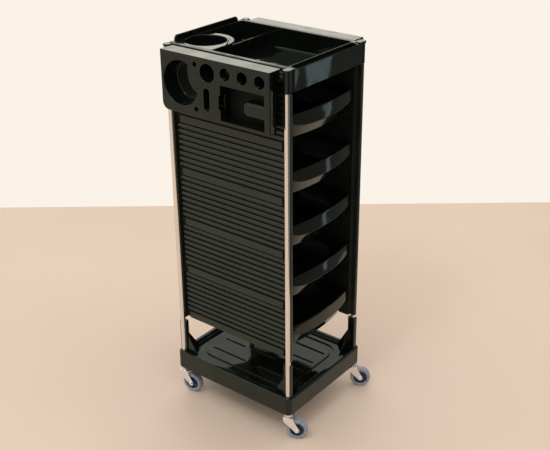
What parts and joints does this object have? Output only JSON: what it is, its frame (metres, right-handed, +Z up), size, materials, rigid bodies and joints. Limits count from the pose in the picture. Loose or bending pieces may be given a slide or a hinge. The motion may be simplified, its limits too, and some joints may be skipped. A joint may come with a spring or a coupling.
{
  "type": "salon trolley cart",
  "caption": "Tall rolling salon trolley on tube posts with ribbed sides, pull-out trays, a top tray with a cup holder, folding tool trays and swivel casters.",
  "frame": {"origin": "on the floor under the middle of the trolley, halfway between the four posts", "axes": "+Z up; -Y is the open drawer front; the ribbed side panels face -X and +X; the raised guard is at +Y"},
  "size_m": [0.328, 0.4044, 0.8915],
  "materials": {
    "gloss_black": "moulded black ABS, high gloss",
    "satin_black": "ribbed black ABS, satin",
    "post_chrome": "polished chromed steel tube",
    "caster_zinc": "bright zinc-plated pressed steel",
    "hub_navy": "dark navy moulded nylon",
    "tyre_blue": "translucent bluish polyurethane"
  },
  "bodies": {
    "trolley": {"base_tray": "gloss_black", "side_panel_left": "satin_black", "side_panel_right": "satin_black", "top_frame": "gloss_black", "top_tray": "gloss_black", "post_front_left": "post_chrome", "post_cap_front_left": "gloss_black", "caster_stem_front_left": "caster_zinc", "post_front_right": "post_chrome", "post_cap_front_right": "gloss_black", "caster_stem_front_right": "caster_zinc", "post_back_left": "post_chrome", "post_cap_back_left": "gloss_black", "caster_stem_back_left": "caster_zinc", "post_back_right": "post_chrome", "post_cap_back_right": "gloss_black", "caster_stem_back_right": "caster_zinc"},
    "drawer_1": {"drawer_1": "gloss_black"},
    "drawer_2": {"drawer_2": "gloss_black"},
    "drawer_3": {"drawer_3": "gloss_black"},
    "drawer_4": {"drawer_4": "gloss_black"},
    "drawer_5": {"drawer_5": "gloss_black"},
    "tool_tray_left": {"tool_tray_left": "gloss_black", "hinge_pin_front_left": "gloss_black", "hinge_pin_back_left": "gloss_black"},
    "tool_tray_right": {"tool_tray_right": "gloss_black", "hinge_pin_front_right": "gloss_black", "hinge_pin_back_right": "gloss_black"},
    "caster_front_left": {"caster_fork_front_left": "caster_zinc", "caster_axle_front_left": "caster_zinc"},
    "wheel_front_left": {"caster_hub_front_left": "hub_navy", "caster_tyre_front_left": "tyre_blue"},
    "caster_front_right": {"caster_fork_front_right": "caster_zinc", "caster_axle_front_right": "caster_zinc"},
    "wheel_front_right": {"caster_hub_front_right": "hub_navy", "caster_tyre_front_right": "tyre_blue"},
    "caster_back_left": {"caster_fork_back_left": "caster_zinc", "caster_axle_back_left": "caster_zinc"},
    "wheel_back_left": {"caster_hub_back_left": "hub_navy", "caster_tyre_back_left": "tyre_blue"},
    "caster_back_right": {"caster_fork_back_right": "caster_zinc", "caster_axle_back_right": "caster_zinc"},
    "wheel_back_right": {"caster_hub_back_right": "hub_navy", "caster_tyre_back_right": "tyre_blue"}
  },
  "joints": [
    {"name": "drawer_1_slide", "type": "slide", "parent": "trolley", "child": "drawer_1", "axis": [0, -1, 0], "range_m": [-0.24, 0.24]},
    {"name": "drawer_2_slide", "type": "slide", "parent": "trolley", "child": "drawer_2", "axis": [0, -1, 0], "range_m": [-0.24, 0.24]},
    {"name": "drawer_3_slide", "type": "slide", "parent": "trolley", "child": "drawer_3", "axis": [0, -1, 0], "range_m": [-0.24, 0.24]},
    {"name": "drawer_4_slide", "type": "slide", "parent": "trolley", "child": "drawer_4", "axis": [0, -1, 0], "range_m": [-0.24, 0.24]},
    {"name": "drawer_5_slide", "type": "slide", "parent": "trolley", "child": "drawer_5", "axis": [0, -1, 0], "range_m": [-0.24, 0.24]},
    {"name": "tool_tray_left_hinge", "type": "hinge", "parent": "trolley", "child": "tool_tray_left", "pos_m": [-0.134, 0, 0.872], "axis": [0, 1, 0], "range_deg": [0, 90]},
    {"name": "tool_tray_right_hinge", "type": "hinge", "parent": "trolley", "child": "tool_tray_right", "pos_m": [0.134, 0, 0.872], "axis": [0, -1, 0], "range_deg": [0, 90]},
    {"name": "caster_front_left_swivel", "type": "hinge", "parent": "trolley", "child": "caster_front_left", "pos_m": [-0.131, -0.16, 0.056], "axis": [0, 0, 1], "continuous": true},
    {"name": "wheel_front_left_spin", "type": "hinge", "parent": "caster_front_left", "child": "wheel_front_left", "pos_m": [-0.1205, -0.17819, 0.025], "axis": [0.866, 0.5, 0], "continuous": true},
    {"name": "caster_front_right_swivel", "type": "hinge", "parent": "trolley", "child": "caster_front_right", "pos_m": [0.131, -0.16, 0.056], "axis": [0, 0, 1], "continuous": true},
    {"name": "wheel_front_right_spin", "type": "hinge", "parent": "caster_front_right", "child": "wheel_front_right", "pos_m": [0.14274, -0.17741, 0.025], "axis": [0.829, 0.5592, 0], "continuous": true},
    {"name": "caster_back_left_swivel", "type": "hinge", "parent": "trolley", "child": "caster_back_left", "pos_m": [-0.131, 0.16, 0.056], "axis": [0, 0, 1], "continuous": true},
    {"name": "wheel_back_left_spin", "type": "hinge", "parent": "caster_back_left", "child": "wheel_back_left", "pos_m": [-0.12735, 0.13932, 0.025], "axis": [0.9848, 0.1736, 0], "continuous": true},
    {"name": "caster_back_right_swivel", "type": "hinge", "parent": "trolley", "child": "caster_back_right", "pos_m": [0.131, 0.16, 0.056], "axis": [0, 0, 1], "continuous": true},
    {"name": "wheel_back_right_spin", "type": "hinge", "parent": "caster_back_right", "child": "wheel_back_right", "pos_m": [0.1415, 0.17819, 0.025], "axis": [-0.866, 0.5, 0], "continuous": true}
  ]
}
